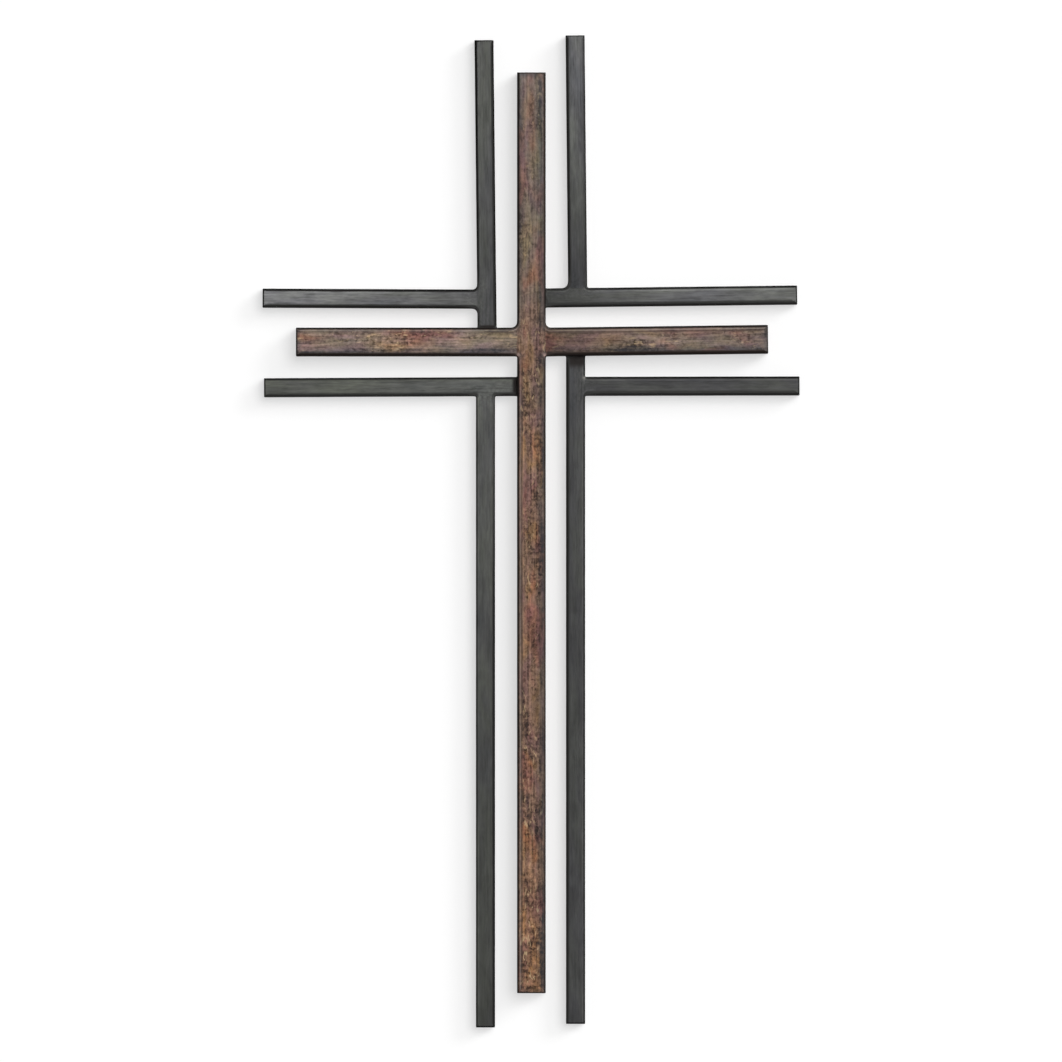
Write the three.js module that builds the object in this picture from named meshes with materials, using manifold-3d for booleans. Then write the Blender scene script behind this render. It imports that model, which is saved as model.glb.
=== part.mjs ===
// A wall cross welded from square steel tube. A heavy copper-brown cross carries a tee of
// lighter dark tube in each of its four corners, and the tees turn round it like a pinwheel.
// All the tubes lie with their backs on one plane, so the heavy cross stands proud in front.
// Millimetres: X to the right, Z up, the wall at Y = 0 and the viewer on the -Y side.
// The origin is the middle of the heavy cross's crossing, on the wall.
import * as THREE from 'three';
import { mergeVertices } from 'three/addons/utils/BufferGeometryUtils.js';
import Module from 'manifold-3d';

// Square tube: its outside width and the outside radius of its rolled corners
const MAIN_TUBE = { width: 19.05, corner: 1.8 };
const TEE_TUBE = { width: 12.7, corner: 1.5 };

// Heavy cross, from the middle of its crossing
const RISE_ABOVE_CROSSING = 179.4;
const DROP_BELOW_CROSSING = 433.5;

// Clear gap kept between a tube and the one that it is welded to
const WELD_GAP = 0.3;
// How far a weld runs along the mate past its fillet, beyond the rounded edge
const WELD_TOE = 1.0;
// How deep a root reaches over the mate's rounded edge, in corner radii
const ROOT_REACH = 3;

// Keyhole slot in the back of the upright, for a screw head in the wall
const KEYHOLE_ABOVE_CROSSING = 133.0;
const KEYHOLE_ENTRY_WIDTH = 10.0;
const KEYHOLE_NECK_WIDTH = 5.0;
const KEYHOLE_TRAVEL = 12.0;
const TUBE_WALL = 1.5;
const HEAD_ROOM = 7.0;

// Facets of a rounded edge, of a fillet and of a half circle of the keyhole
const EDGE_FACETS = 3;
const FILLET_FACETS = 5;
const HALF_ROUND_FACETS = 10;

// Sides of a tube, looking along it from its root, from in front of the cross
const LEFT = 1;
const RIGHT = -1;

const copperPatina = new THREE.MeshStandardMaterial({
  name: 'copper_patina', color: 0x70594c, roughness: 0.5, metalness: 0.75, flatShading: true,
});
const darkSteel = new THREE.MeshStandardMaterial({
  name: 'dark_steel', color: 0x525250, roughness: 0.45, metalness: 0.8, flatShading: true,
});

// Cut list. A tube stands on the given side of its mate, at a distance from the mate's root,
// and leans by some degrees counterclockwise from square, as the hand-welded joints do.
// Weld fillets are given for the left and the right of its root.
const CUT_LIST = [
  { name: 'main_upright', stock: MAIN_TUBE, finish: copperPatina,
    length: DROP_BELOW_CROSSING + RISE_ABOVE_CROSSING },
  { name: 'main_arm_left', stock: MAIN_TUBE, finish: copperPatina, length: 147.2,
    mate: 'main_upright', side: LEFT, at: DROP_BELOW_CROSSING, lean: 0, welds: [0.8, 3.7] },
  { name: 'main_arm_right', stock: MAIN_TUBE, finish: copperPatina, length: 148.0,
    mate: 'main_upright', side: RIGHT, at: DROP_BELOW_CROSSING, lean: 0.7, welds: [3.4, 0.8] },
  { name: 'upper_left_upright', stock: TEE_TUBE, finish: darkSteel, length: 191.6,
    mate: 'main_arm_left', side: RIGHT, at: 20.0, lean: 0.62, welds: [0.6, 0.8] },
  { name: 'upper_left_arm', stock: TEE_TUBE, finish: darkSteel, length: 143.0,
    mate: 'upper_left_upright', side: LEFT, at: 19.2, lean: -0.86, welds: [3.4, 3.0] },
  { name: 'upper_right_arm', stock: TEE_TUBE, finish: darkSteel, length: 167.5,
    mate: 'main_upright', side: RIGHT, at: DROP_BELOW_CROSSING + 29.4, lean: 0.67, welds: [0.7, 0.7] },
  { name: 'upper_right_upright', stock: TEE_TUBE, finish: darkSteel, length: 168.3,
    mate: 'upper_right_arm', side: LEFT, at: 21.4, lean: -0.07, welds: [4.0, 1.2] },
  { name: 'lower_left_arm', stock: TEE_TUBE, finish: darkSteel, length: 168.6,
    mate: 'main_upright', side: LEFT, at: DROP_BELOW_CROSSING - 29.6, lean: 0.28, welds: [0.6, 0.6] },
  { name: 'lower_left_upright', stock: TEE_TUBE, finish: darkSteel, length: 420.5,
    mate: 'lower_left_arm', side: LEFT, at: 21.1, lean: -0.28, welds: [0.8, 0.8] },
  { name: 'lower_right_upright', stock: TEE_TUBE, finish: darkSteel, length: 444.9,
    mate: 'main_arm_right', side: RIGHT, at: 19.8, lean: -0.7, welds: [0.6, 0.6] },
  { name: 'lower_right_arm', stock: TEE_TUBE, finish: darkSteel, length: 142.8,
    mate: 'lower_right_upright', side: LEFT, at: 20.2, lean: 0.12, welds: [0.8, 0.8] },
];

const wasm = await Module();
wasm.setup();

// Closed geometry as a solid that can be joined and cut
function toSolid(geometry) {
  geometry.deleteAttribute('normal');
  geometry.deleteAttribute('uv');
  const welded = mergeVertices(geometry);
  return new wasm.Manifold(new wasm.Mesh({
    numProp: 3,
    vertProperties: new Float32Array(welded.attributes.position.array),
    triVerts: new Uint32Array(welded.index.array),
  }));
}

// Solid back to a geometry for a mesh
function toGeometry(solid) {
  const { vertProperties, triVerts } = solid.getMesh();
  const geometry = new THREE.BufferGeometry();
  geometry.setAttribute('position', new THREE.BufferAttribute(vertProperties, 3));
  geometry.setIndex(new THREE.BufferAttribute(triVerts, 1));
  geometry.computeVertexNormals();
  return geometry;
}

// Plan outline of a tube with two free ends, along +X from the origin
function freePlan(width, length) {
  const outline = new THREE.Shape();
  outline.moveTo(0, -width / 2);
  outline.lineTo(length, -width / 2);
  outline.lineTo(length, width / 2);
  outline.lineTo(0, width / 2);
  return outline;
}

// Plan outline of a tube whose root is filleted to a mate's face at X = 0 and reaches past it
function weldedPlan({ stock, length, welds }) {
  const half = stock.width / 2;
  const [left, right] = welds;
  const toe = stock.corner + WELD_TOE;
  const reach = ROOT_REACH * stock.corner;
  const outline = new THREE.Shape();
  outline.moveTo(-reach, -half - right - toe);
  outline.lineTo(0, -half - right - toe);
  outline.absarc(right, -half - right, right, Math.PI, Math.PI / 2, true);
  outline.lineTo(length, -half);
  outline.lineTo(length, half);
  outline.absarc(left, half + left, left, -Math.PI / 2, -Math.PI, true);
  outline.lineTo(0, half + left + toe);
  outline.lineTo(-reach, half + left + toe);
  return outline;
}

// Plan outline raised to the tube's full depth, from back to front, with its edges rounded
function raise(outline, back, front, corner) {
  const geometry = new THREE.ExtrudeGeometry(outline, {
    depth: front - back - 2 * corner,
    bevelThickness: corner,
    bevelSize: corner,
    bevelOffset: -corner,
    bevelSegments: EDGE_FACETS,
    curveSegments: FILLET_FACETS,
  });
  return geometry.translate(0, 0, back + corner);
}

// The mate with the weld gap all round it, seen from the frame of the tube that it cuts
function gapCutter(mate, frame) {
  const { width, corner } = mate.stock;
  const outline = freePlan(width + 2 * WELD_GAP, mate.length);
  const geometry = raise(outline, -WELD_GAP, width + WELD_GAP, corner + WELD_GAP);
  const toFrame = frame.clone().invert().multiply(mate.frame);
  return toSolid(geometry.applyMatrix4(toFrame));
}

// Straight slot with round ends, from its first centre on the origin along +X
function slotCutter(width, travel, back, front) {
  const radius = width / 2;
  const outline = new THREE.Shape();
  outline.moveTo(0, -radius);
  outline.absarc(travel, 0, radius, -Math.PI / 2, Math.PI / 2, false);
  outline.absarc(0, 0, radius, Math.PI / 2, Math.PI * 1.5, false);
  const depth = front - back;
  const geometry = new THREE.ExtrudeGeometry(outline, {
    depth, bevelEnabled: false, curveSegments: HALF_ROUND_FACETS,
  });
  return geometry.translate(0, 0, back);
}

// Keyhole: a round entry and a narrow neck through the tube's wall, and head room inside
function keyholeCutter(entryAlong) {
  const entry = new THREE.CylinderGeometry(
    KEYHOLE_ENTRY_WIDTH / 2, KEYHOLE_ENTRY_WIDTH / 2, 2 * TUBE_WALL + HEAD_ROOM, 2 * HALF_ROUND_FACETS,
  );
  entry.rotateX(Math.PI / 2);
  entry.translate(0, 0, HEAD_ROOM / 2);
  const neck = slotCutter(KEYHOLE_NECK_WIDTH, KEYHOLE_TRAVEL, -TUBE_WALL, 2 * TUBE_WALL);
  const channel = slotCutter(KEYHOLE_ENTRY_WIDTH, KEYHOLE_TRAVEL, TUBE_WALL, TUBE_WALL + HEAD_ROOM);
  let cutter = toSolid(channel.translate(entryAlong, 0, 0));
  for (const opening of [entry, neck]) {
    cutter = cutter.add(toSolid(opening.translate(entryAlong, 0, 0)));
  }
  return cutter;
}

// Place of a tube on the bench: its root on its mate's side face, turned to its heading
function benchFrame(tube, mate) {
  if (!mate) {
    const heading = Math.PI / 2;
    return { x: 0, y: -DROP_BELOW_CROSSING, heading };
  }
  const { x, y, heading } = mate.place;
  const offset = tube.side * mate.stock.width / 2;
  return {
    x: x + tube.at * Math.cos(heading) - offset * Math.sin(heading),
    y: y + tube.at * Math.sin(heading) + offset * Math.cos(heading),
    heading: heading + tube.side * Math.PI / 2 + THREE.MathUtils.degToRad(tube.lean),
  };
}

// One tube, cut to its mate and set in its place on the bench
function makeTube(tube, mate) {
  tube.place = benchFrame(tube, mate);
  const mesh = new THREE.Mesh(undefined, tube.finish);
  mesh.name = tube.name;
  mesh.position.set(tube.place.x, tube.place.y, 0);
  mesh.rotation.z = tube.place.heading;
  mesh.updateMatrix();
  tube.frame = mesh.matrix;

  const { width, corner } = tube.stock;
  const outline = mate ? weldedPlan(tube) : freePlan(width, tube.length);
  const body = toSolid(raise(outline, 0, width, corner));
  const cutter = mate
    ? gapCutter(mate, tube.frame)
    : keyholeCutter(DROP_BELOW_CROSSING + KEYHOLE_ABOVE_CROSSING);
  mesh.geometry = toGeometry(body.subtract(cutter));
  return mesh;
}

// The cross is laid out flat on a bench, fronts up, and then stood up against the wall
const cross = new THREE.Group();
cross.name = 'wall_cross';
cross.rotation.x = Math.PI / 2;
const tubes = new Map();
for (const tube of CUT_LIST) {
  cross.add(makeTube(tube, tubes.get(tube.mate)));
  tubes.set(tube.name, tube);
}

export default cross;
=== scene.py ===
# Looks of a welded wall cross, built round its packed tubes: rounded and welded bodies, a
# mottled copper patina on the heavy cross and brushed dark steel on the tees in its corners.
# Metres: X to the right, Z up, the wall at Y = 0 and the viewer on the -Y side.
import math
from dataclasses import dataclass

import bpy
import numpy as np
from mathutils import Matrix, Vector, kdtree, noise
from mathutils.geometry import delaunay_2d_cdt


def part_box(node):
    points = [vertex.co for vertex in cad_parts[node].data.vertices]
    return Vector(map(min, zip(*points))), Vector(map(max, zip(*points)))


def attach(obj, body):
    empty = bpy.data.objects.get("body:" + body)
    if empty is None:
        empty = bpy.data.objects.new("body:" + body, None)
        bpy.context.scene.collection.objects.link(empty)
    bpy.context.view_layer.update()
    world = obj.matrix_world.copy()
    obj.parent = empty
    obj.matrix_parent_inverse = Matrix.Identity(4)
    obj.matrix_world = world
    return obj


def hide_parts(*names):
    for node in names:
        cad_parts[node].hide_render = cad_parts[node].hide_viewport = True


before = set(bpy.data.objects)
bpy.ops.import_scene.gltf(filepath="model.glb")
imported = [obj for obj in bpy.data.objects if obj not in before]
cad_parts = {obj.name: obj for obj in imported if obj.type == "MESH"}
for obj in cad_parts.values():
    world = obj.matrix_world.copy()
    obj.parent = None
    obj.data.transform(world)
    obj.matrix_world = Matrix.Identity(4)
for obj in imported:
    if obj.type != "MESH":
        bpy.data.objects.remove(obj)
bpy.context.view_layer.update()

MM = 0.001

# Camera: straight on, level with the middle of the photograph, with its sensor in millimetres
CAMERA_DISTANCE = 8.0
CAMERA_X = -0.27 * MM
CAMERA_Z = -125.87 * MM
SENSOR = 36.0
PHOTO_WIDTH = 707.2 * MM
SLIM_FRONT = -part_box("upper_left_upright")[0].y

# Rounding of the tubes: long edges, edges of the closed ends and corners of the ends
MAIN_EDGE = 1.8 * MM
TEE_EDGE = 1.5 * MM
END_EDGE = 0.8 * MM
END_CORNER = 0.45 * MM

# Welds are ground flush, so edges are sharper close to them, and their sides keep ripples
WELD_SHARPENS = 0.45
WELD_SPREAD = 4.0 * MM
GRIND_SHARE = 1.2
SPOT_SPREAD = 0.9 * MM
SPOT_INSET = 1.5 * MM
RIPPLE_HEIGHT = 0.12 * MM
RIPPLE_PITCH = 3.2 * MM
BURIED_DEPTH = 1.7 * MM

# Mesh density
RIM_STEP = 1.1 * MM
RING_STEP = 0.9 * MM
FRONT_STEP = 1.0 * MM
BACK_STEP = 3.0 * MM
RIM_SAMPLE = 0.2 * MM
LATTICE_MARGIN = 0.55
EDGE_FACETS = 4
FILLET_FACETS = 6
CORNER_FACETS = 3
SHARP_ANGLE = math.radians(50)

# Vertices this close to a tube's tip belong to its end, and points this close are the same
TIP_DEPTH = 1.0 * MM
SAME_POINT = 1e-7

# Hand-finished unevenness of the surfaces: height and length of the waves, and a shift for each piece
WAVES = ((0.05 * MM, 14.0 * MM), (0.02 * MM, 4.0 * MM))
WAVE_SHIFT = 7.1

# Keyhole slot in the back of the main upright, with a dark hollow behind it: partly raw steel, partly
# painted shade of the recess
KEYHOLE_Z = 133.0 * MM
KEYHOLE_ENTRY = 5.0 * MM
KEYHOLE_NECK = 2.5 * MM
KEYHOLE_TRAVEL = 12.0 * MM
KEYHOLE_HOLLOW = 5.8 * MM
TUBE_WALL = 1.5 * MM
HEAD_ROOM = 7.0 * MM
HOLLOW_SHADE = 0.15
ROUND_FACETS = 24

# Stage: a pale wall just behind the cross, and a pale surround far away
STAGE_REACH = 20.0
STAGE_FLOOR = -1.6
WALL_GAP = 0.4 * MM
WALL_ALBEDO = 0.45
WALL_GLOW = 0.586
SURROUND_GLOW = 0.9
WORLD_STRENGTH = 0.24

# Lights of the stage: heading, spread in degrees and strength
SUNS = {
    "key": ((-0.32, 1.0, -0.28), 36, 1.76),
    "broad": ((-1.4, 1.0, -0.9), 24, 1.28),
    "back_fill": ((-0.4, -1.0, -0.6), 40, 2.0),
}

# Sides of a tube, looking from its root to its end, and headings in the XZ plane
LEFT, RIGHT = 1, -1
UP, DOWN = Vector((0, 1)), Vector((0, -1))
EAST, WEST = Vector((1, 0)), Vector((-1, 0))

# Welds that show bare bright metal at their inside corner
BRIGHT_WELDS = {("main_arm_left", LEFT), ("main_arm_right", RIGHT), ("lower_right_arm", LEFT)}


@dataclass
class Finish:
    """How a tube looks. Tuples run evenly from its root to its end, and lengths are in millimetres.

    tone: brightness of its colour, partly its own and partly painted light and shade as each tube
    catches more or less light
    dark_side: the side that is in the shade
    light_edge, dark_edge: width of the dark edge, partly dark finish and partly painted shade, on the
    light and on the dark side
    light_highlight, dark_highlight: strength of the painted highlight line beside those edges
    light_wear, dark_wear: share of those edges that is left out, where the dark finish is rubbed away
    and the painted shade with it
    warmth: from greyish to warm and rusty on copper, from grey to olive on steel
    scorch_and_shadow: length at the root darkened by heat tint and by the painted shadow of the main
    cross
    dark_patch: place along the tube, reach and height of a dark patch on the dark side
    """

    tone: tuple
    dark_side: int
    light_edge: float
    dark_edge: float
    light_highlight: tuple = (0.0,)
    dark_highlight: tuple = (0.0,)
    light_wear: tuple = (0.0,)
    dark_wear: tuple = (0.0,)
    warmth: tuple = (0.0,)
    scorch_and_shadow: float = 0.0
    dark_patch: tuple = (0.0, 1.0, 0.0)


# Finish of every tube
FINISHES = {
    "main_upright": Finish(
        tone=(0.84, 0.87, 0.89, 0.97, 0.83, 0.92), dark_side=RIGHT, light_edge=1.3, dark_edge=1.5,
        light_highlight=(1.0, 0.9, 1.0, 0.8, 0.1, 0.0), light_wear=(0.4, 0.2, 0.0), dark_wear=(0.4, 0.2),
        warmth=(2.2, 1.1, 0.95, 1.0, 0.4, -0.1), dark_patch=(30.0, 27.0, 4.2)),
    "main_arm_left": Finish(
        tone=(1.1, 1.24, 1.22), dark_side=LEFT, light_edge=1.45, dark_edge=2.1, light_highlight=(0.5,),
        warmth=(0.0, 0.3, 0.8, 0.3, 0.5), dark_patch=(20.0, 13.0, 3.4)),
    "main_arm_right": Finish(
        tone=(0.6, 0.98, 0.9), dark_side=RIGHT, light_edge=1.55, dark_edge=2.6, light_highlight=(0.9,),
        warmth=(0.6, 0.6, 0.1, 0.2), dark_patch=(66.0, 20.0, 3.6)),
    "upper_left_upright": Finish(
        tone=(0.68, 0.91), dark_side=LEFT, light_edge=2.0, dark_edge=1.5,
        warmth=(0.0, 0.5), scorch_and_shadow=2.0),
    "upper_left_arm": Finish(
        tone=(1.08, 2.15), dark_side=LEFT, light_edge=1.8, dark_edge=2.5, light_highlight=(0.15,)),
    "upper_right_arm": Finish(
        tone=(0.42, 1.26, 1.33), dark_side=RIGHT, light_edge=1.6, dark_edge=3.1, light_highlight=(0.7,)),
    "upper_right_upright": Finish(
        tone=(0.47, 1.36), dark_side=LEFT, light_edge=1.9, dark_edge=2.2, light_wear=(0.4, 0.3)),
    "lower_left_arm": Finish(
        tone=(1.17, 0.95), dark_side=LEFT, light_edge=1.65, dark_edge=2.5, light_wear=(0.1,),
        warmth=(1.0,), scorch_and_shadow=3.5),
    "lower_left_upright": Finish(
        tone=(0.95, 0.64, 0.5), dark_side=RIGHT, light_edge=1.8, dark_edge=0.85, dark_highlight=(0.9, 1.4),
        light_wear=(0.5, 0.0, 0.0, 0.0), dark_wear=(0.6, 1.0), warmth=(0.5,)),
    "lower_right_upright": Finish(
        tone=(0.7, 0.54, 0.58), dark_side=RIGHT, light_edge=1.25, dark_edge=2.4, light_highlight=(0.2,),
        light_wear=(0.2,), dark_wear=(0.0, 0.4), scorch_and_shadow=8.5),
    "lower_right_arm": Finish(
        tone=(0.61, 0.67), dark_side=RIGHT, light_edge=1.6, dark_edge=3.2, light_highlight=(0.8,)),
}

# Width in millimetres of the dark edge round a closed end
TIP_EDGE = 0.95

# How softly finishes meet: light and dark side, sides and end, tube and tube, and the end of the heat
# tint and painted shadow at a root
SHADE_BLEND = 0.3
TIP_BLEND = 0.4 * MM
JOIN_BLEND = 2.0 * MM
SCORCH_AND_SHADOW_FADE = (0.55, 1.15)
LEAST_SCORCH_AND_SHADOW = 0.001 * MM

# Where the textures of each tube start, so that no two tubes have the same pattern
TEXTURE_SHIFT = (3.7, 1.3, 0.0)
MOST_TUBES = 3


def end_corners(node, heading):
    """Left and right corner of a tube's end, looking along the heading, in the XZ plane."""
    points = [Vector((v.co.x, v.co.z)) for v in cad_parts[node].data.vertices]
    left = Vector((-heading.y, heading.x))
    reach = max(p.dot(heading) for p in points)
    tip = [p for p in points if p.dot(heading) > reach - TIP_DEPTH]
    return max(tip, key=left.dot), min(tip, key=left.dot)


def centre_of(points):
    """Centre of some points of the plan."""
    return sum(points, Vector((0, 0))) / len(points)


def on_circle(centre, radius, angle):
    """Point of the plan on a circle."""
    return centre + Vector((math.cos(angle), math.sin(angle))) * radius


class Tube:
    """A straight square tube, read off its CAD node, with the tubes that are welded to it."""

    def __init__(self, node, heading, edge, mate=None, side=None, welds=(0, 0)):
        corner_left, corner_right = end_corners(node, heading)
        self.node = node
        self.edge = edge
        self.mate = mate
        self.side = side
        self.weld_radii = {LEFT: welds[0] * MM, RIGHT: welds[1] * MM}
        self.finish = FINISHES[node]
        self.half = (corner_left - corner_right).length / 2
        self.left = (corner_left - corner_right).normalized()
        self.heading = Vector((self.left.y, -self.left.x))
        end = centre_of([corner_left, corner_right])
        if mate is None:
            self.root = centre_of(end_corners(node, -heading))
        else:
            face = mate.at(0, side * mate.half)
            reach = (end - face).dot(mate.left) / self.heading.dot(mate.left)
            self.root = end - self.heading * reach
        self.length = (end - self.root).length
        self.depth = -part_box(node)[0].y
        self.branches = {LEFT: [], RIGHT: []}
        self.weld_spots = {LEFT: [], RIGHT: []}

    def at(self, along, across):
        """Point of the plan at a distance along the tube from its root, and to its left."""
        return self.root + self.heading * along + self.left * across

    def along_of(self, point):
        """Distance of a point of the plan along the tube."""
        return (point - self.root).dot(self.heading)

    def edge_at(self, along, side):
        """Rounding of the long edge on a side, which is sharper close to a weld."""
        nearest = min((abs(along - spot) for spot in self.weld_spots[side]), default=math.inf)
        return self.edge * (1 - WELD_SHARPENS * math.exp(-((nearest / WELD_SPREAD) ** 2)))


class Weld:
    """Fillet on one side of a tube's root, touching the tube and its mate's side face."""

    def __init__(self, tube, side):
        mate = tube.mate
        self.tube = tube
        self.side = side
        self.radius = tube.weld_radii[side]
        line = tube.side * (mate.half + self.radius)
        offset = (mate.at(0, line) - tube.root).dot(tube.left)
        slope = mate.heading.dot(tube.left)
        self.along_mate = (side * (tube.half + self.radius) - offset) / slope
        self.centre = mate.at(self.along_mate, line)
        self.along_tube = tube.along_of(self.centre)
        self.on_mate = mate.at(self.along_mate, tube.side * mate.half)
        self.on_tube = tube.at(self.along_tube, side * tube.half)

    def arc(self, to_tube):
        """Rim points round the fillet, from the mate to the tube or back again."""
        first, last = (self.on_mate, self.on_tube) if to_tube else (self.on_tube, self.on_mate)
        start = (first - self.centre).normalized()
        turn = -start.angle_signed((last - self.centre).normalized())
        edge = self.tube.edge * (1 - WELD_SHARPENS)
        bright = (self.tube.node, self.side) in BRIGHT_WELDS
        for i in range(FILLET_FACETS):
            middle = i == FILLET_FACETS // 2
            angle = turn * i / FILLET_FACETS
            out = Vector((
                start.x * math.cos(angle) - start.y * math.sin(angle),
                start.x * math.sin(angle) + start.y * math.cos(angle),
            ))
            outer = self.centre + out * self.radius
            yield RimPoint(outer, outer + out * edge, edge, weld=True, bright=bright and middle)


@dataclass
class RimPoint:
    """Point of a piece's outline: its place on the side, where the flat begins, and the rounding."""

    outer: Vector
    inner: Vector
    edge: float
    weld: bool = False
    bright: bool = False


def clamp(value, low, high):
    """The value, kept between two limits."""
    return max(low, min(high, value))


def tube_rim(tube, along, across):
    """Rim point of a tube from its place along and across the tube."""
    edge = tube.edge_at(along, LEFT if across > 0 else RIGHT)
    lowest = END_EDGE if tube.mate is None else -tube.length
    inner = tube.at(
        clamp(along, lowest, tube.length - END_EDGE),
        clamp(across, edge - tube.half, tube.half - edge),
    )
    return RimPoint(tube.at(along, across), inner, edge)


def straight(tube, start, stop):
    """Rim points on a line between two places of a tube, without the last one."""
    (along, across), (to_along, to_across) = start, stop
    count = max(1, round(math.hypot(to_along - along, to_across - across) / RIM_STEP))
    for i in range(count):
        share = i / count
        yield tube_rim(tube, along + (to_along - along) * share, across + (to_across - across) * share)


def corner(tube, along, across, start):
    """Rim points round a quarter circle about a corner's centre, from a starting angle in quarters."""
    for i in range(CORNER_FACETS):
        angle = (start + i / CORNER_FACETS) * math.pi / 2
        yield tube_rim(tube, along + END_CORNER * math.cos(angle), across + END_CORNER * math.sin(angle))


def side_rim(tube, side, start, stop):
    """Rim points along a side of a tube, out and back round every tube welded to that side."""
    place = start
    for branch in tube.branches[side]:
        right, left = Weld(branch, RIGHT), Weld(branch, LEFT)
        yield from straight(tube, (place, side * tube.half), (right.along_mate, side * tube.half))
        yield from right.arc(to_tube=True)
        yield from body_rim(branch, right.along_tube, left.along_tube)
        yield from left.arc(to_tube=False)
        place = left.along_mate
    yield from straight(tube, (place, side * tube.half), (stop, side * tube.half))


def body_rim(tube, right_start, left_start):
    """Rim points up the right side of a tube, round its free end and down its left side."""
    near_end = tube.length - END_CORNER
    near_side = tube.half - END_CORNER
    yield from side_rim(tube, RIGHT, right_start, near_end)
    yield from corner(tube, near_end, -near_side, -1)
    yield from straight(tube, (tube.length, -near_side), (tube.length, near_side))
    yield from corner(tube, near_end, near_side, 0)
    yield from side_rim(tube, LEFT, near_end, left_start)


def free_root_rim(tube):
    """Rim points round a root that is a free end."""
    near_side = tube.half - END_CORNER
    yield from corner(tube, END_CORNER, near_side, 1)
    yield from straight(tube, (0, near_side), (0, -near_side))
    yield from corner(tube, END_CORNER, -near_side, 2)


def welded_root_rim(tube):
    """Rim points of a root that is welded to another piece, and reaches a little into it."""
    left, right = Weld(tube, LEFT), Weld(tube, RIGHT)
    into_mate = tube.mate.left * (-tube.side * BURIED_DEPTH)
    edge = tube.edge * (1 - WELD_SHARPENS)
    yield from left.arc(to_tube=False)
    yield RimPoint(left.on_mate + into_mate, left.on_mate + into_mate - tube.left * edge, edge)
    yield RimPoint(right.on_mate + into_mate, right.on_mate + into_mate + tube.left * edge, edge)
    yield from right.arc(to_tube=True)


def piece_rim(tube):
    """The whole outline of a piece, counterclockwise seen from in front."""
    if tube.mate is None:
        return [*body_rim(tube, END_CORNER, END_CORNER), *free_root_rim(tube)]
    starts = [Weld(tube, side).along_tube for side in (RIGHT, LEFT)]
    return [*body_rim(tube, *starts), *welded_root_rim(tube)]


def note_welds(tube):
    """Marks where a tube's welds touch it and its mate."""
    for side in (LEFT, RIGHT):
        weld = Weld(tube, side)
        tube.weld_spots[side].append(weld.along_tube)
        if tube in tube.mate.branches[tube.side]:
            tube.mate.weld_spots[tube.side].append(weld.along_mate)


def lattice(tube, step):
    """Points inside a tube's flat, in rows across it."""
    margin = LATTICE_MARGIN * step
    half = tube.half - tube.edge - margin
    start = margin - (tube.edge if tube.mate else -END_EDGE)
    stop = tube.length - END_EDGE - margin
    rows = round((stop - start) / step)
    columns = round(2 * half / step)
    for row in range(rows + 1):
        along = start + (stop - start) * row / rows
        for column in range(columns + 1):
            yield tube.at(along, half * (2 * column / columns - 1))


def inside(point, loop):
    """Whether a point of the plan lies inside a closed loop."""
    crossings = 0
    for a, b in zip(loop, loop[1:] + loop[:1]):
        if (a.y > point.y) != (b.y > point.y):
            crossings += point.x < a.x + (point.y - a.y) * (b.x - a.x) / (b.y - a.y)
    return crossings % 2 == 1


def fill(loop, points, hole=()):
    """Triangles inside a loop and outside a hole, over the loop's, the hole's and the inner points."""
    hole = list(hole)
    first = len(loop)
    edges = [(first + i, first + (i + 1) % len(hole)) for i in range(len(hole))]
    if hole:
        points = [p for p in points if not inside(p, hole)]
    given = [*loop, *hole, *points]
    triangles_inside = 1
    found = delaunay_2d_cdt(given, edges, [list(range(first))], triangles_inside, SAME_POINT)
    _, _, faces, origins, _, _ = found
    triangles = [[origins[i][0] for i in face] for face in faces]
    if hole:
        triangles = [t for t in triangles if not inside(centre_of([given[i] for i in t]), hole)]
    return given, triangles


def keyhole_loop(tube):
    """Outline of the keyhole, counterclockwise: a round entry below and a round-topped neck."""
    entry = tube.at(KEYHOLE_Z - tube.root.y, 0)
    spread = math.asin(KEYHOLE_NECK / KEYHOLE_ENTRY)
    loop = []
    for i in range(ROUND_FACETS + 1):
        angle = math.pi / 2 + spread + (2 * math.pi - 2 * spread) * i / ROUND_FACETS
        loop.append(on_circle(entry, KEYHOLE_ENTRY, angle))
    top = entry + Vector((0, KEYHOLE_TRAVEL))
    for i in range(ROUND_FACETS // 2 + 1):
        angle = math.pi * i * 2 / ROUND_FACETS
        loop.append(on_circle(top, KEYHOLE_NECK, angle))
    return loop


def hollow_loop(tube):
    """Outline of the hollow behind the keyhole, counterclockwise."""
    entry = tube.at(KEYHOLE_Z - tube.root.y, 0)
    loop = []
    for i in range(ROUND_FACETS + 2):
        upper = i <= ROUND_FACETS // 2
        angle = math.pi * (i if upper else i - 1) * 2 / ROUND_FACETS
        centre = entry + Vector((0, KEYHOLE_TRAVEL if upper else 0))
        loop.append(on_circle(centre, KEYHOLE_HOLLOW, angle))
    return loop


class MeshMaker:
    """Vertices and faces of a piece, collected one surface at a time."""

    def __init__(self):
        self.points = []
        self.faces = []

    def ring(self, points):
        """Adds points and returns their numbers."""
        first = len(self.points)
        self.points += points
        return list(range(first, len(self.points)))

    def add(self, plan, y):
        """Adds points of the plan at one depth and returns their numbers."""
        return self.ring([(p.x, y, p.y) for p in plan])

    def face(self, corners):
        """Adds a face, without corners that repeat the one before."""
        kept = [c for i, c in enumerate(corners) if c != corners[i - 1]]
        if len(kept) > 2:
            self.faces.append(kept)

    def band(self, upper, lower):
        """Quads between two closed rings, the second one further back."""
        for i in range(len(upper)):
            j = (i + 1) % len(upper)
            self.face([upper[i], lower[i], lower[j], upper[j]])

    def flat(self, numbers, given, triangles, y, back):
        """Triangles of a flat whose loops are already there, with its inner points added."""
        numbers = numbers + self.add(given[len(numbers):], y)
        for a, b, c in triangles:
            order = (a, c, b) if back else (a, b, c)
            self.face([numbers[i] for i in order])


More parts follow.
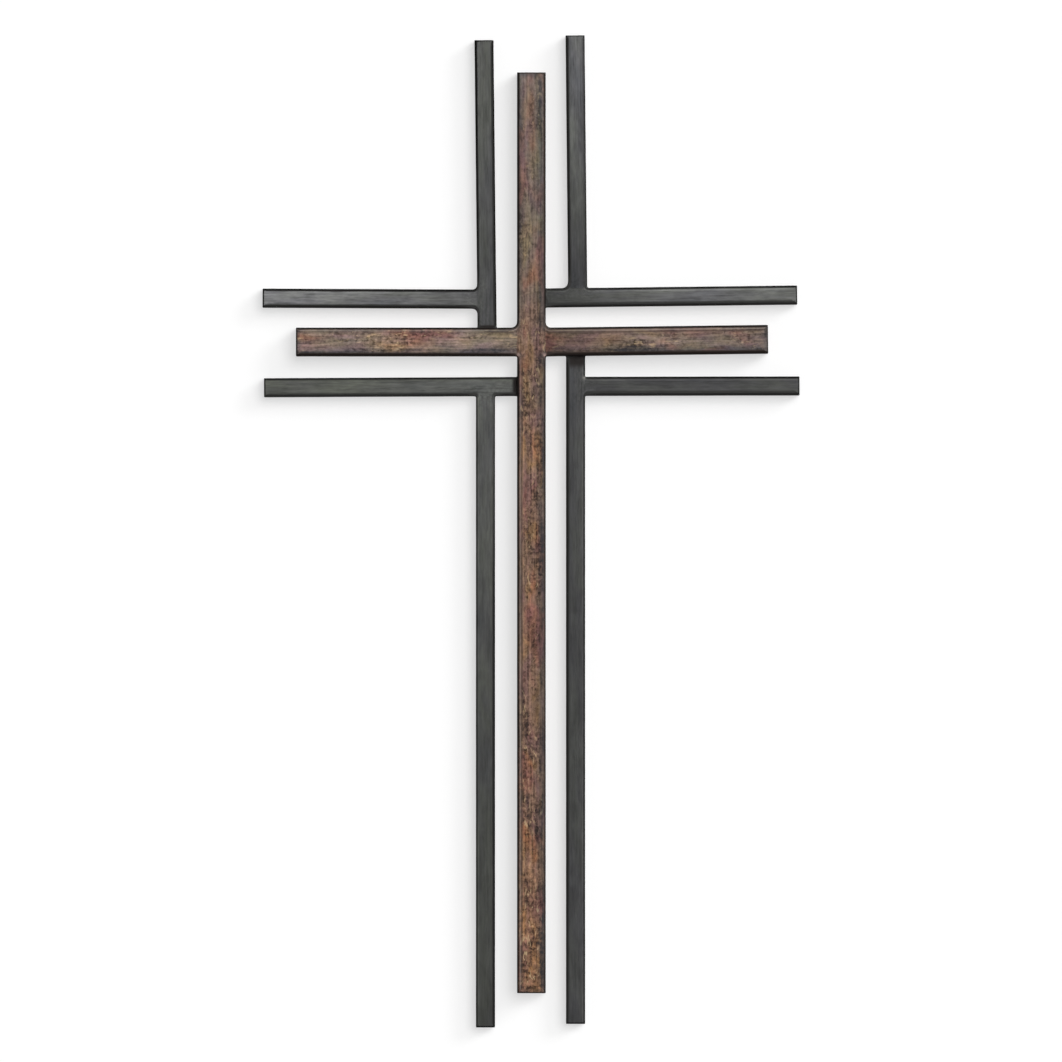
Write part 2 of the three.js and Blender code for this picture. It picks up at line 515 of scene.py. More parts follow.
def merge_equal(points):
    """The points without repeats in a row, and for each given point its number among those."""
    kept, numbers = [], []
    for p in points:
        if not kept or (p - kept[-1]).length > SAME_POINT:
            kept.append(p)
        numbers.append(len(kept) - 1)
    if (kept[0] - kept[-1]).length < SAME_POINT:
        kept.pop()
        numbers = [n % len(kept) for n in numbers]
    return kept, numbers


def edge_rings(maker, rim, y_flat, into):
    """Rings of the rounding between a flat and the sides, from just outside the flat."""
    rings = []
    for i in range(1, EDGE_FACETS + 1):
        angle = math.pi / 2 * i / EDGE_FACETS
        ring = []
        for r in rim:
            p = r.inner + (r.outer - r.inner) * math.sin(angle)
            ring.append((p.x, y_flat + into * r.edge * (1 - math.cos(angle)), p.y))
        rings.append(maker.ring(ring))
    return rings


def side_rings(maker, rim, depth):
    """Rings down the sides between the two roundings, with ripples on the welds."""
    count = max(2, round((depth - 2 * rim[0].edge) / RING_STEP))
    rings = []
    for i in range(1, count):
        ring = []
        for r in rim:
            y = -depth + r.edge + (depth - 2 * r.edge) * i / count
            p = r.outer
            if r.weld:
                ripple = math.sin(2 * math.pi * y / RIPPLE_PITCH) * RIPPLE_HEIGHT
                p = p + (r.outer - r.inner).normalized() * ripple
            ring.append((p.x, y, p.y))
        rings.append(maker.ring(ring))
    return rings


def carve_keyhole(maker, tube, neck_numbers, neck):
    """Walls of the keyhole and of the hollow behind it."""
    hollow = hollow_loop(tube)
    inner_neck = maker.add(neck, -TUBE_WALL)
    maker.band(neck_numbers, inner_neck)
    outer_hollow = maker.add(hollow, -TUBE_WALL)
    given, triangles = fill(hollow, [], neck)
    maker.flat(outer_hollow + inner_neck, given, triangles, -TUBE_WALL, back=False)
    floor = maker.add(hollow, -TUBE_WALL - HEAD_ROOM)
    maker.band(outer_hollow, floor)
    given, triangles = fill(hollow, [])
    maker.flat(floor, given, triangles, -TUBE_WALL - HEAD_ROOM, back=True)


def family(tube):
    """A tube and all the tubes of its piece that are welded to it."""
    return [tube, *tube.branches[LEFT], *tube.branches[RIGHT]]


def piece_mesh(name, tube, keyhole=False):
    """Closed mesh of a piece: flats, rounded edges, sides and, in the back, the keyhole."""
    rim = piece_rim(tube)
    loop, numbers = merge_equal([r.inner for r in rim])
    maker = MeshMaker()
    front = maker.add(loop, -tube.depth)
    points = [p for t in family(tube) for p in lattice(t, FRONT_STEP)]
    maker.flat(front, *fill(loop, points), -tube.depth, back=False)
    rings = [[front[n] for n in numbers]]
    rings += edge_rings(maker, rim, -tube.depth, 1)
    rings += side_rings(maker, rim, tube.depth)
    rings += edge_rings(maker, rim, 0, -1)[::-1]
    back = maker.add(loop, 0)
    rings.append([back[n] for n in numbers])
    for upper, lower in zip(rings, rings[1:]):
        maker.band(upper, lower)
    points = [p for t in family(tube) for p in lattice(t, BACK_STEP)]
    neck = keyhole_loop(tube) if keyhole else []
    neck_numbers = maker.add(neck, 0)
    maker.flat(back + neck_numbers, *fill(loop, points, neck), 0, back=True)
    if keyhole:
        carve_keyhole(maker, tube, neck_numbers, neck)
    mesh = bpy.data.meshes.new(name)
    mesh.from_pydata(maker.points, [], maker.faces)
    mesh.shade_smooth()
    mesh.set_sharp_from_angle(angle=SHARP_ANGLE)
    return mesh, rim


def rim_distance(plan, rim):
    """Distance of every point of the plan to a closed outline."""
    loop = [r.outer for r in rim]
    points = []
    for start, stop in zip(loop, loop[1:] + loop[:1]):
        count = max(1, math.ceil((stop - start).length / RIM_SAMPLE))
        points += [start.lerp(stop, i / count) for i in range(count)]
    tree = kdtree.KDTree(len(points))
    for i, point in enumerate(points):
        tree.insert((*point, 0), i)
    tree.balance()
    return np.array([tree.find((x, z, 0))[2] for x, z in plan])


def smooth_step(value, low, high):
    """Share that rises smoothly from 0 to 1 between two values."""
    share = np.clip((value - low) / (high - low), 0, 1)
    return share * share * (3 - 2 * share)


def tube_place(tube, places, number):
    """Distances along, across and in front of a tube, with a start of its own for the textures."""
    plan = places[:, [0, 2]] - np.array(tube.root)
    along = plan @ np.array(tube.heading)
    across = plan @ np.array(tube.left)
    return np.stack([along, across, -places[:, 1]], 1), number * np.array(TEXTURE_SHIFT)


def store(mesh, name, values):
    """Keeps one value or vector for every vertex, for the materials."""
    kind, key = ("FLOAT", "value") if values.ndim == 1 else ("FLOAT_VECTOR", "vector")
    attribute = mesh.attributes.new(name, kind, "POINT")
    attribute.data.foreach_set(key, values.astype(np.float32).ravel())


def along_share(tube, along, values):
    """A value that runs through evenly spaced values from a tube's root to its end."""
    return np.interp(along / tube.length, np.linspace(0, 1, len(values)), values)


def closeness(plan, points, spread):
    """How close every point of the plan is to the nearest of some points, from 1 down to 0."""
    if not points:
        return np.zeros(len(plan))
    nearest = np.sqrt(((plan[:, None] - np.array(points)[None]) ** 2).sum(2)).min(1)
    return np.exp(-((nearest / spread) ** 2))


def finish_at(tube, place):
    """Values of a tube's finish at every place along and across it, for the materials."""
    finish = tube.finish
    along, across = place[:, 0], place[:, 1] / tube.half
    # Share of the light side: the painted shade of the edges and border, and the painted highlight line,
    # follow it
    lit = 1 - smooth_step(across * finish.dark_side, -SHADE_BLEND, SHADE_BLEND)
    light_wear = along_share(tube, along, finish.light_wear)
    dark_wear = along_share(tube, along, finish.dark_wear)
    light_highlight = along_share(tube, along, finish.light_highlight)
    dark_highlight = along_share(tube, along, finish.dark_highlight)
    band = finish.dark_edge + (finish.light_edge - finish.dark_edge) * lit
    to_side = (1 - np.abs(across)) * tube.half
    to_tip = tube.length - along
    if tube.mate is None:
        to_tip = np.minimum(to_tip, along)
    tip = smooth_step(to_side - to_tip, -TIP_BLEND, TIP_BLEND)
    lit = np.maximum(lit, tip)
    # A dark patch along the edge of the shaded side only
    middle, reach, height = [size * MM for size in finish.dark_patch]
    dark_patch = height * np.clip(1 - ((along - middle) / reach) ** 2, 0, 1)
    return {
        "dark_patch": dark_patch * (1 - lit),
        # Tone is partly painted light and shade along each tube
        "tone": along_share(tube, along, finish.tone),
        "warmth": along_share(tube, along, finish.warmth),
        "lit": lit,
        # Line: strength of the painted highlight beside the dark edge
        "line": (dark_highlight + (light_highlight - dark_highlight) * lit) * (1 - tip),
        "wear": dark_wear + (light_wear - dark_wear) * lit,
        "band": (band + (TIP_EDGE - band) * tip) * MM,
    }


def mark(mesh, tube, rim, number):
    """Stores for the materials where each vertex lies on its tubes and on its piece."""
    places = np.array([v.co for v in mesh.vertices])
    plan = places[:, [0, 2]]
    stem, stem_start = tube_place(tube, places, number)
    branch = stem.copy()
    share = np.zeros(len(places))
    looks = finish_at(tube, stem)
    for i, other in enumerate(family(tube)[1:]):
        place, start = tube_place(other, places, number + i + 1)
        ahead = place[:, 0] > -tube.half
        branch[ahead] = (place + start)[ahead]
        joined = smooth_step(place[:, 0], -JOIN_BLEND, JOIN_BLEND) * ahead
        share = np.maximum(share, joined)
        for key, values in finish_at(other, place).items():
            looks[key] += (values - looks[key]) * joined
    store(mesh, "stem", stem + stem_start)
    store(mesh, "branch", branch)
    store(mesh, "share", share)
    from_faces = np.minimum(tube.depth + places[:, 1], -places[:, 1])
    from_rim = rim_distance(plan, rim)
    store(mesh, "rim", np.maximum(from_rim, from_faces))
    # Vertices that lie inside the tube are those of the keyhole's hollow, darkened as raw steel and as
    # painted shade of the recess
    in_hollow = (from_rim > tube.edge) & (from_faces > TUBE_WALL / 2)
    looks["tone"][in_hollow] *= HOLLOW_SHADE
    for key, values in looks.items():
        store(mesh, key, values)
    store(mesh, "weld", closeness(plan, [r.outer for r in rim if r.weld], GRIND_SHARE * tube.half))
    spots = [r.outer + (r.inner - r.outer).normalized() * SPOT_INSET for r in rim if r.bright]
    store(mesh, "spot", closeness(plan, spots, SPOT_SPREAD))
    # Heat tint and the painted shadow of the main cross at a tee's root
    scorch_and_shadow = max(tube.finish.scorch_and_shadow * MM, LEAST_SCORCH_AND_SHADOW)
    fade = [part * scorch_and_shadow for part in SCORCH_AND_SHADOW_FADE]
    store(mesh, "scorch_and_shadow", 1 - smooth_step(stem[:, 0], *fade))


def uneven(mesh, number):
    """Moves the vertices by the slight waves that hand finishing leaves."""
    mesh.update()
    normals = [v.normal.copy() for v in mesh.vertices]
    for vertex, normal in zip(mesh.vertices, normals):
        height = 0
        for amount, size in WAVES:
            height += amount * noise.noise(vertex.co / size + Vector((number * WAVE_SHIFT, 0, 0)))
        vertex.co += normal * height


def srgb(red, green, blue):
    """A colour as the eye reads it, 0 to 255, as a linear colour."""
    linear = [(c / 255 + 0.055) / 1.055 for c in (red, green, blue)]
    return (*[c ** 2.4 for c in linear], 1.0)


# Noise keeps to this range nearly everywhere
NOISE_RANGE = (0.3, 0.7)

# Where the textures of two tubes meet, their border is a fine ragged line
JOIN_GRAIN = 500
JOIN_JITTER = 0.4

# Gloss of both finishes beside their metal shine, and how far their textures lift the surface
SPECULAR = 0.25
PATINA_LIFT = 0.05 * MM
STEEL_LIFT = 0.03 * MM

# Copper patina: two grounds, strokes, glints, dark patches, painted shade of a groove, painted highlight
# line, bare weld
PATINA_GREY = srgb(112, 98, 90)
PATINA_WARM = srgb(119, 93, 77)
PATINA_STROKE = srgb(62, 48, 50)
PATINA_GLINT = srgb(196, 168, 130)
PATINA_DARK_PATCH = srgb(46, 45, 48)
PATINA_GROOVE_SHADE = srgb(70, 58, 53)
PATINA_HIGHLIGHT = srgb(142, 130, 122)
PATINA_BARE = srgb(190, 162, 152)

# Tints of the copper patina, as factors of red, green and blue
RED_TINT = (1.14, 0.86, 0.86)
OLIVE_TINT = (0.93, 1.0, 0.86)
PLUM_TINT = (0.81, 0.76, 0.94)
OCHRE_TINT = (1.07, 1.02, 0.78)
RUST_TINT = (1.06, 0.94, 0.82)
WELD_TINT = (0.9, 0.85, 0.85)
# The border tint darkens the patina's border: partly its dark finish, partly painted shade
BORDER_TINT = (0.44, 0.54, 0.66)

# Dark steel: ground, olive tint, brightness of the painted highlight line, heat tint and painted shadow
# at the root, bare weld
STEEL_GROUND = (
    (0.30, srgb(75, 76, 79)),
    (0.45, srgb(78, 78, 79)),
    (0.60, srgb(79, 80, 77)),
    (0.72, srgb(77, 77, 78)),
)
STEEL_TINT = (0.99, 1.02, 0.92)
STEEL_HIGHLIGHT = (2.0, 2.0, 2.0)
STEEL_SCORCH_AND_SHADOW = srgb(27, 22, 20)
STEEL_BARE = srgb(128, 126, 122)

# Dark edges of both, partly dark finish and partly painted shade: on the shaded side, at its outermost
# painted paler as if lit, and on the light side
PATINA_EDGES = (srgb(50, 43, 40), srgb(70, 63, 59), srgb(54, 48, 45))
STEEL_EDGES = (srgb(48, 48, 47), srgb(78, 78, 76), srgb(32, 32, 31))

# Softness of the dark edges on either side, and reach of the outermost part of the shaded side that is
# painted paler as if lit
DARK_BLUR = 0.75 * MM
LIGHT_BLUR = 0.4 * MM
LIT_OUTERMOST_REACH = (0.3 * MM, 1.5 * MM)

# Distances from the dark edge where the painted highlight line and the painted shade of a groove rise
# and fall
HIGHLIGHT_RIDGE = (0.0, 0.6 * MM, 0.7 * MM, 1.4 * MM)
GROOVE_SHADE_RIDGE = (0.9 * MM, 1.6 * MM, 2.0 * MM, 3.0 * MM)

# Darker border of the patina, partly dark finish and partly painted shade wider on the shaded side: its
# raggedness, its reach, and its shifts by side and highlight line
RAGGED = 4.0 * MM
BORDER_REACH = 6.0 * MM
BORDER_SHIFT = (-1.9 * MM, 0.3 * MM)
HIGHLIGHT_SHIFT = 2.2 * MM

# Dark patches on the shaded side: how far they stay off the light side, grow on patches and fade
DARK_PATCH_OFF = 2.0 * MM
DARK_PATCH_GROWTH = 1.5 * MM
DARK_PATCH_FADE = (-0.6 * MM, 2.4 * MM)

# Unevenness of the dark edges
PATINA_RAGGED_EDGE = 0.4 * MM
STEEL_RAGGED_EDGE = 0.2 * MM


class Graph:
    """A material's node tree, with one short call for each node."""

    def __init__(self, name):
        self.material = bpy.data.materials.new(name)
        self.material.use_nodes = True
        self.tree = self.material.node_tree
        self.tree.nodes.clear()

    def node(self, kind, inputs=(), output=0, **settings):
        """Adds a node with its settings and inputs, and returns one of its outputs."""
        made = self.tree.nodes.new(kind)
        for key, value in settings.items():
            setattr(made, key, value)
        for key, value in dict(inputs).items():
            if isinstance(value, bpy.types.NodeSocket):
                self.tree.links.new(value, made.inputs[key])
            else:
                made.inputs[key].default_value = value
        return made.outputs[output] if made.outputs else made

    def attribute(self, name, output="Fac"):
        """A value or vector that the mesh keeps for every vertex."""
        return self.node("ShaderNodeAttribute", output=output, attribute_name=name)

    def math(self, operation, a, b):
        return self.node("ShaderNodeMath", {0: a, 1: b}, operation=operation)

    def plus(self, a, b):
        return self.math("ADD", a, b)

    def minus(self, a, b):
        return self.math("SUBTRACT", a, b)

    def times(self, a, b):
        return self.math("MULTIPLY", a, b)

    def grain(self, place, along, across, detail=2.0, roughness=0.5, distortion=0.0):
        """Noise with so many waves to a metre along a tube, and so many across it."""
        scale = {0: place, 1: (along, across, across)}
        scaled = self.node("ShaderNodeVectorMath", scale, operation="MULTIPLY")
        inputs = {"Vector": scaled, "Scale": 1.0, "Detail": detail, "Roughness": roughness,
                  "Distortion": distortion}
        return self.node("ShaderNodeTexNoise", inputs)

    def smooth(self, value, low, high):
        """Share that rises from 0 to 1 between two values."""
        inputs = {"Value": value, "From Min": low, "From Max": high}
        return self.node("ShaderNodeMapRange", inputs, interpolation_type="SMOOTHSTEP")

    def fall(self, value, low, high):
        """Share that falls from 1 to 0 between two values."""
        return self.minus(1.0, self.smooth(value, low, high))

    def ridge(self, value, rise, top, drop, end):
        """Share that rises to 1 between the first two values and falls back to 0 between the others."""
        return self.times(self.smooth(value, rise, top), self.fall(value, drop, end))

    def between(self, share, low, high):
        """Value that goes from one limit to another as a share goes from 0 to 1."""
        inputs = {"Value": share, "From Min": 0.0, "From Max": 1.0, "To Min": low, "To Max": high}
        return self.node("ShaderNodeMapRange", inputs)

    def spread(self, noise, amount):
        """Noise turned into values spread over plus and minus an amount."""
        return self.between(self.smooth(noise, *NOISE_RANGE), -amount, amount)

    def mix(self, share, a, b, blend="MIX"):
        inputs = {0: share, 6: a, 7: b}
        return self.node("ShaderNodeMix", inputs, output=2, data_type="RGBA", blend_type=blend)

    def tint(self, share, colour, factors):
        """Colour multiplied by red, green and blue factors, as far as the share says."""
        return self.mix(share, colour, (*factors, 1.0), "MULTIPLY")

    def scaled(self, colour, factor):
        """Colour multiplied by a factor."""
        return self.mix(1.0, colour, factor, "MULTIPLY")

    def ramp(self, value, stops):
        """Colour that runs through the stops as a value rises."""
        made = self.tree.nodes.new("ShaderNodeValToRGB")
        self.tree.links.new(value, made.inputs[0])
        ramp = made.color_ramp
        while len(ramp.elements) < len(stops):
            ramp.elements.new(0.5)
        for element, (place, colour) in zip(ramp.elements, stops):
            element.position = place
            element.color = colour
        return made.outputs[0]

    def place(self):
        """Distances along, across and in front of the tube that a point belongs to."""
        stem = self.attribute("stem", "Vector")
        jitter = self.between(self.grain(stem, JOIN_GRAIN, JOIN_GRAIN), -JOIN_JITTER, JOIN_JITTER)
        on_branch = self.math("GREATER_THAN", self.plus(self.attribute("share"), jitter), 0.5)
        inputs = {0: on_branch, 4: stem, 5: self.attribute("branch", "Vector")}
        return self.node("ShaderNodeMix", inputs, output=1, data_type="VECTOR")

    def finish(self, colour, roughness, height, metallic, lift):
        """Surface of the material, with bumps that a full height lifts by so many metres."""
        bump = self.node("ShaderNodeBump", {"Height": height, "Distance": lift, "Strength": 1.0})
        inputs = {"Base Color": colour, "Roughness": roughness, "Metallic": metallic,
                  "Specular IOR Level": SPECULAR, "Normal": bump}
        surface = self.node("ShaderNodeBsdfPrincipled", inputs)
        self.node("ShaderNodeOutputMaterial", {"Surface": surface})
        return self.material


def edge_marks(g, rim, ragged):
    """Shares of the dark rounded edge, partly dark finish and partly painted shade, of the painted
    highlight line just inside it and of the painted shade of a groove after that.
    """
    from_edge = g.minus(g.plus(rim, ragged), g.attribute("band"))
    strength = g.attribute("line")
    blur = g.between(g.attribute("lit"), DARK_BLUR, LIGHT_BLUR)
    edge = g.fall(g.math("DIVIDE", from_edge, blur), -1.0, 1.0)
    edge = g.times(edge, g.minus(1.0, g.attribute("wear")))
    line = g.times(g.ridge(from_edge, *HIGHLIGHT_RIDGE), strength)
    groove = g.times(g.ridge(from_edge, *GROOVE_SHADE_RIDGE), strength)
    return edge, line, groove


def edge_colour(g, rim, shaded, lit_outermost, lit_side):
    """Colour of the dark edge, partly dark finish and partly painted shade, with its own colour on each
    side: on the shaded side painted paler at its outermost, as if lit.
    """
    dark = g.mix(g.fall(rim, *LIT_OUTERMOST_REACH), shaded, lit_outermost)
    return g.mix(g.attribute("lit"), dark, lit_side)


def copper_patina():
    """Brushed copper-brown patina: streaked and mottled hues, dark strokes, dark sides and edges that
    are partly painted shade.
    """
    g = Graph("copper_patina")
    place = g.place()
    rim = g.attribute("rim")
    lit = g.attribute("lit")
    weld = g.attribute("weld")
    warmth = g.attribute("warmth")

    # Noises: waves to a metre along and across, detail, roughness and distortion
    reds = g.grain(place, 34, 90, 2.0, 0.45, 0.5)
    earths = g.grain(place, 46, 120, 2.0, 0.45, 0.5)
    patches = g.grain(place, 28, 80, 2.0, 0.5, 0.3)
    brushed = g.grain(place, 32, 620, 3.0, 0.5, 0.2)
    streaks = g.grain(place, 40, 1100, 3.0, 0.6)
    mottle = g.grain(place, 380, 460, 3.0, 0.6, 0.6)
    weave = g.grain(place, 520, 90, 2.0, 0.5)
    marks = g.grain(place, 150, 480, 2.0, 0.5, 1.2)
    ragged = g.grain(place, 90, 210, 4.0, 0.65, 0.7)
    blots = g.grain(place, 110, 240, 2.0, 0.5, 1.0)

    # Where the tube is rusty, and where its texture is busiest
    rusty = g.smooth(warmth, 1.1, 1.8)
    busy = g.math("MAXIMUM", g.smooth(patches, 0.42, 0.58), weld)
    busy = g.math("MAXIMUM", busy, rusty)

    # Hue: a greyish or warm ground with patches of red, olive, plum, ochre and rust
    warm_share = g.smooth(g.plus(warmth, g.between(reds, -0.5, 0.5)), 0.0, 1.0)
    colour = g.mix(warm_share, PATINA_GREY, PATINA_WARM)
    colour = g.tint(g.times(g.smooth(reds, 0.5, 0.66), 0.8), colour, RED_TINT)
    olive = g.times(g.fall(reds, 0.34, 0.5), g.between(warm_share, 0.9, 0.15))
    colour = g.tint(olive, colour, OLIVE_TINT)
    hue = g.between(warm_share, 0.6, 1.0)
    colour = g.tint(g.times(g.fall(earths, 0.34, 0.5), hue), colour, PLUM_TINT)
    colour = g.tint(g.times(g.smooth(earths, 0.5, 0.66), hue), colour, OCHRE_TINT)
    colour = g.tint(weld, colour, WELD_TINT)
    colour = g.tint(rusty, colour, RUST_TINT)

    # Brightness: mottled, woven, blotted and brushed, and stronger where the tube is warm
    depth = g.plus(g.times(warmth, 0.45), 0.9)
    texture = g.times(g.spread(mottle, 0.4), g.between(busy, 0.7, 1.0))
    texture = g.plus(texture, g.times(g.spread(weave, 0.16), busy))
    texture = g.plus(texture, g.spread(patches, -0.16))
    texture = g.plus(texture, g.times(g.spread(blots, 0.16), g.between(rusty, 0.5, 1.0)))
    brushing = g.times(g.spread(brushed, 0.34), g.between(busy, 1.15, 0.8))
    brushing = g.times(brushing, g.math("MINIMUM", depth, 1.3))
    texture = g.plus(g.plus(g.times(texture, depth), brushing), 1.0)
    colour = g.scaled(colour, g.math("MAXIMUM", texture, 0.2))

    # Dark strokes and bright glints
    dark = g.times(g.smooth(marks, 0.54, 0.7), g.between(busy, 0.25, 0.5))
    colour = g.mix(dark, colour, PATINA_STROKE)
    bright = g.times(g.fall(marks, 0.3, 0.4), g.times(g.between(busy, 0.1, 0.6), depth))
    colour = g.mix(g.times(bright, 0.7), colour, PATINA_GLINT)

    # Darker ragged border, partly dark finish and partly painted shade, and dark patches on the shaded
    # side
    ragged_rim = g.plus(rim, g.between(ragged, -RAGGED, RAGGED))
    inset = g.plus(ragged_rim, g.between(lit, *BORDER_SHIFT))
    inset = g.plus(inset, g.times(g.attribute("line"), HIGHLIGHT_SHIFT))
    colour = g.tint(g.times(g.fall(inset, 0.0, BORDER_REACH), 0.95), colour, BORDER_TINT)
    reach = g.minus(g.attribute("dark_patch"), g.times(lit, DARK_PATCH_OFF))
    reach = g.plus(reach, g.between(g.smooth(patches, 0.4, 0.65), 0.0, DARK_PATCH_GROWTH))
    stroked_rim = g.plus(ragged_rim, g.between(brushed, -RAGGED, RAGGED))
    dark_patch = g.fall(g.minus(stroked_rim, reach), *DARK_PATCH_FADE)
    dark_patch = g.times(dark_patch, g.between(g.smooth(mottle, 0.36, 0.6), 0.95, 0.55))
    colour = g.mix(dark_patch, colour, PATINA_DARK_PATCH)

    # Painted shade of a groove, painted highlight line, brightness of the tube (partly painted light and
    # shade), dark edges (partly painted shade) and bare welds
    edge, line, groove = edge_marks(g, rim, g.between(streaks, -PATINA_RAGGED_EDGE, PATINA_RAGGED_EDGE))
    colour = g.mix(g.times(groove, 0.75), colour, PATINA_GROOVE_SHADE)
    colour = g.mix(g.times(line, 0.6), colour, PATINA_HIGHLIGHT)
    colour = g.scaled(colour, g.attribute("tone"))
    colour = g.mix(edge, colour, edge_colour(g, rim, *PATINA_EDGES))
    colour = g.mix(g.attribute("spot"), colour, PATINA_BARE)
    metallic = g.between(edge, 0.55, 0.95)
    roughness = g.between(brushed, 0.3, 0.62)
    height = g.minus(streaks, g.times(dark, 0.4))
    return g.finish(colour, roughness, height, metallic, PATINA_LIFT)


def dark_steel():
    """Dark steel brushed lengthwise, with faint tints, roots darkened by heat tint and painted shadow,
    and black edges partly painted shade.
    """
    g = Graph("dark_steel")
    place = g.place()
    rim = g.attribute("rim")
    tone = g.attribute("tone")

    # Noises: waves to a metre along and across, detail, roughness and distortion
    patches = g.grain(place, 14, 60, 3.0, 0.55)
    clouds = g.grain(place, 60, 150, 3.0, 0.55, 0.4)
    streaks = g.grain(place, 36, 700, 4.0, 0.6)
    grit = g.grain(place, 140, 1300, 3.0, 0.6)
    ground = g.grain(place, 420, 620, 4.0, 0.7)
    colour = g.ramp(patches, STEEL_GROUND)
    colour = g.tint(g.attribute("warmth"), colour, STEEL_TINT)

    # Brightness: clouded and brushed, speckled where a weld was ground
    texture = g.plus(g.spread(patches, 0.08), g.spread(clouds, 0.12))
    texture = g.plus(texture, g.spread(streaks, 0.12))
    texture = g.plus(texture, g.spread(grit, 0.1))
    texture = g.times(texture, g.between(g.smooth(tone, 0.4, 2.2), 1.1, 1.9))
    colour = g.scaled(colour, g.plus(texture, 1.0))
    speckle = g.plus(g.spread(ground, 0.3), 1.0)
    colour = g.mix(g.attribute("weld"), colour, g.scaled(colour, speckle))
    colour = g.scaled(colour, tone)

    # Painted highlight line, roots darkened by heat tint and painted shadow, dark edges partly painted
    # shade, and bare welds
    edge, line, _ = edge_marks(g, rim, g.between(streaks, -STEEL_RAGGED_EDGE, STEEL_RAGGED_EDGE))
    colour = g.mix(g.times(line, 0.7), colour, g.tint(1.0, colour, STEEL_HIGHLIGHT))
    colour = g.mix(g.times(g.attribute("scorch_and_shadow"), 0.97), colour, STEEL_SCORCH_AND_SHADOW)
    colour = g.mix(edge, colour, edge_colour(g, rim, *STEEL_EDGES))
    colour = g.mix(g.attribute("spot"), colour, STEEL_BARE)
    metallic = g.between(edge, 0.5, 0.95)
    roughness = g.between(streaks, 0.36, 0.5)
    return g.finish(colour, roughness, streaks, metallic, STEEL_LIFT)


def one_sided(name, albedo, glow):
    """Plain pale surface that is clear from behind, so that it hides nothing in other views."""
    g = Graph(name)
    diffuse = g.node("ShaderNodeBsdfDiffuse", {"Color": (albedo, albedo, albedo, 1)})
    light = g.node("ShaderNodeEmission", {"Strength": glow})
    front = g.node("ShaderNodeAddShader", {0: diffuse, 1: light})
    clear = g.node("ShaderNodeBsdfTransparent")
    behind = g.node("ShaderNodeNewGeometry", output="Backfacing")
    surface = g.node("ShaderNodeMixShader", {0: behind, 1: front, 2: clear})
    g.node("ShaderNodeOutputMaterial", {"Surface": surface})
    return g.material


def stage_piece(name, corners, faces, material):
    """A surface of the stage, which gets shadows and throws no light or shadow on the object."""
    mesh = bpy.data.meshes.new(name)
    mesh.from_pydata(corners, [], faces)
    mesh.materials.append(material)
    piece = bpy.data.objects.new(name, mesh)
    bpy.context.scene.collection.objects.link(piece)
    piece.visible_diffuse = False
    piece.visible_glossy = False
    piece.visible_shadow = False


def sun(name, heading, spread, strength):
    """Soft even light along a heading."""
    light = bpy.data.lights.new(name, "SUN")
    light.angle = math.radians(spread)
    light.energy = strength
    lamp = bpy.data.objects.new(name, light)
    lamp.rotation_euler = Vector(heading).to_track_quat("-Z", "Y").to_euler()
    bpy.context.scene.collection.objects.link(lamp)


def set_stage():
    """Pale wall and surround, soft light from the upper right, and one light from behind."""
    sides = (-STAGE_REACH, STAGE_REACH)
    heights = (STAGE_FLOOR, STAGE_REACH)
    corners = [(x, WALL_GAP, z) for z in heights for x in sides]
    stage_piece("wall", corners, [(0, 1, 3, 2)], one_sided("pale_wall", WALL_ALBEDO, WALL_GLOW))
    corners = [(x, y, z) for z in heights for y in sides for x in sides]
    faces = [(0, 1, 3, 2), (4, 6, 7, 5), (0, 4, 5, 1), (2, 3, 7, 6), (0, 2, 6, 4), (1, 5, 7, 3)]
    stage_piece("surround", corners, faces, one_sided("pale_surround", 0.0, SURROUND_GLOW))
    for name, light in SUNS.items():
        sun(name, *light)
    world = bpy.data.worlds.new("pale_world")
    world.use_nodes = True
    background = world.node_tree.nodes["Background"]
    background.inputs["Color"].default_value = (1, 1, 1, 1)
    background.inputs["Strength"].default_value = WORLD_STRENGTH
    bpy.context.scene.world = world
    bpy.context.scene.view_settings.view_transform = "Standard"


def set_camera():
    """Camera at the photograph's angle."""
    data = bpy.data.cameras.new("camera")
    data.sensor_width = SENSOR
    data.lens = SENSOR * (CAMERA_DISTANCE - SLIM_FRONT) / PHOTO_WIDTH
    camera = bpy.data.objects.new("camera", data)
    camera.location = (CAMERA_X, -CAMERA_DISTANCE, CAMERA_Z)
    camera.rotation_euler = (math.pi / 2, 0, 0)
    bpy.context.scene.collection.objects.link(camera)
    bpy.context.scene.camera = camera


def weld_on(tube):
    """Joins a tube to its mate as one piece."""
    tube.mate.branches[tube.side].append(tube)
    return tube


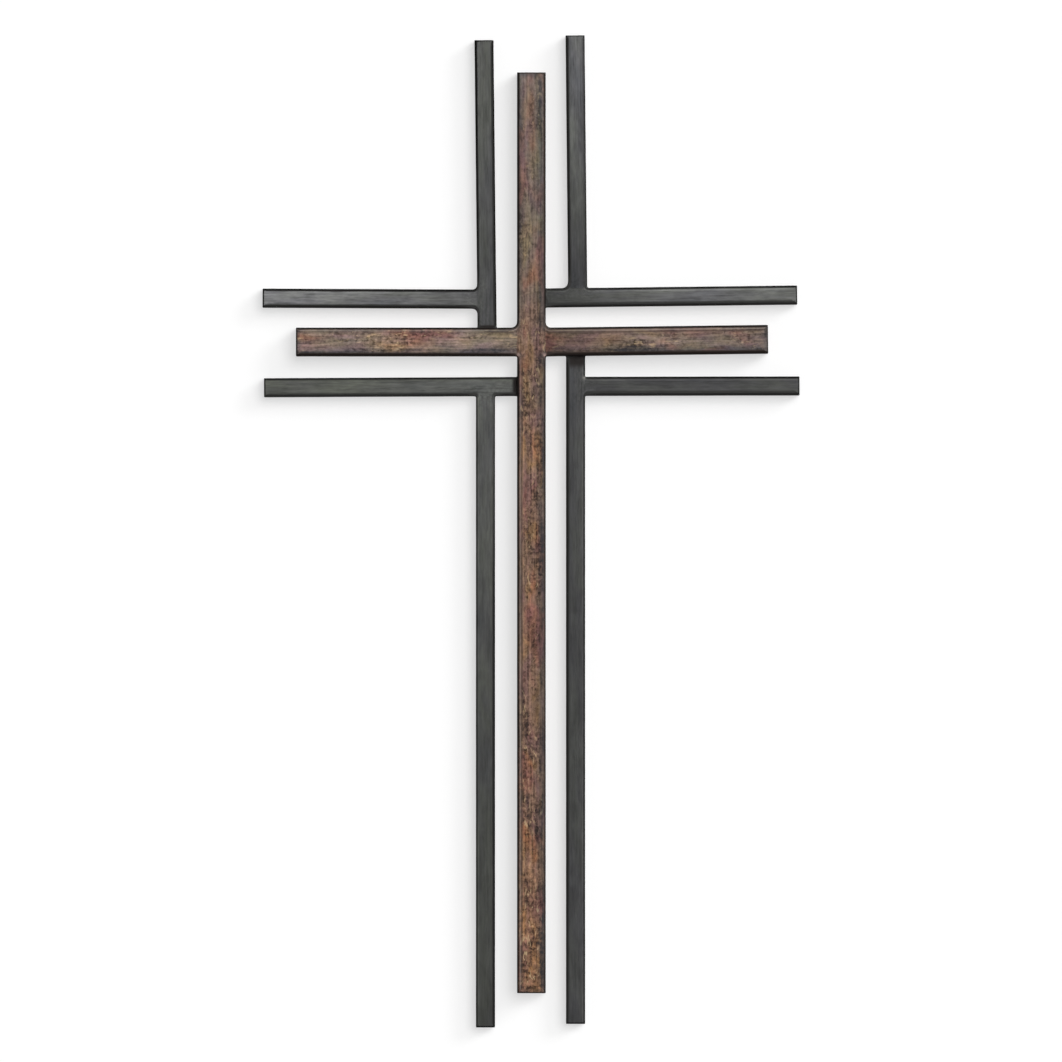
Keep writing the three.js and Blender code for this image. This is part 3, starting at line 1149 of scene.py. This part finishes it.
def tubes():
    """The first tube of each piece, with the others welded to it. Welds are in millimetres."""
    upright = Tube("main_upright", UP, MAIN_EDGE)
    left = weld_on(Tube("main_arm_left", WEST, MAIN_EDGE, upright, LEFT, (0.8, 3.7)))
    right = weld_on(Tube("main_arm_right", EAST, MAIN_EDGE, upright, RIGHT, (3.4, 0.8)))
    upper_left = Tube("upper_left_upright", UP, TEE_EDGE, left, RIGHT, (0.6, 0.8))
    upper_right = Tube("upper_right_arm", EAST, TEE_EDGE, upright, RIGHT, (0.7, 0.7))
    lower_left = Tube("lower_left_arm", WEST, TEE_EDGE, upright, LEFT, (0.6, 0.6))
    lower_right = Tube("lower_right_upright", DOWN, TEE_EDGE, right, RIGHT, (0.6, 0.6))
    weld_on(Tube("upper_left_arm", WEST, TEE_EDGE, upper_left, LEFT, (3.4, 3.0)))
    weld_on(Tube("upper_right_upright", UP, TEE_EDGE, upper_right, LEFT, (4.0, 1.2)))
    weld_on(Tube("lower_left_upright", DOWN, TEE_EDGE, lower_left, LEFT, (0.8, 0.8)))
    weld_on(Tube("lower_right_arm", EAST, TEE_EDGE, lower_right, LEFT, (0.8, 0.8)))
    return {
        "main_cross": upright,
        "upper_left_tee": upper_left,
        "upper_right_tee": upper_right,
        "lower_left_tee": lower_left,
        "lower_right_tee": lower_right,
    }


def make_pieces():
    """Every welded piece, in place of the tubes that it is made of."""
    finishes = {"copper_patina": copper_patina(), "dark_steel": dark_steel()}
    pieces = tubes()
    for tube in pieces.values():
        for t in family(tube):
            if t.mate:
                note_welds(t)
    for number, (name, tube) in enumerate(pieces.items()):
        is_main = name == "main_cross"
        slot = "copper_patina" if is_main else "dark_steel"
        mesh, rim = piece_mesh(name, tube, keyhole=is_main)
        mark(mesh, tube, rim, number * MOST_TUBES)
        uneven(mesh, number)
        mesh.materials.append(finishes[slot])
        piece = bpy.data.objects.new(name, mesh)
        bpy.context.scene.collection.objects.link(piece)
        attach(piece, "root")
        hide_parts(*[t.node for t in family(tube)])


set_camera()
set_stage()
make_pieces()
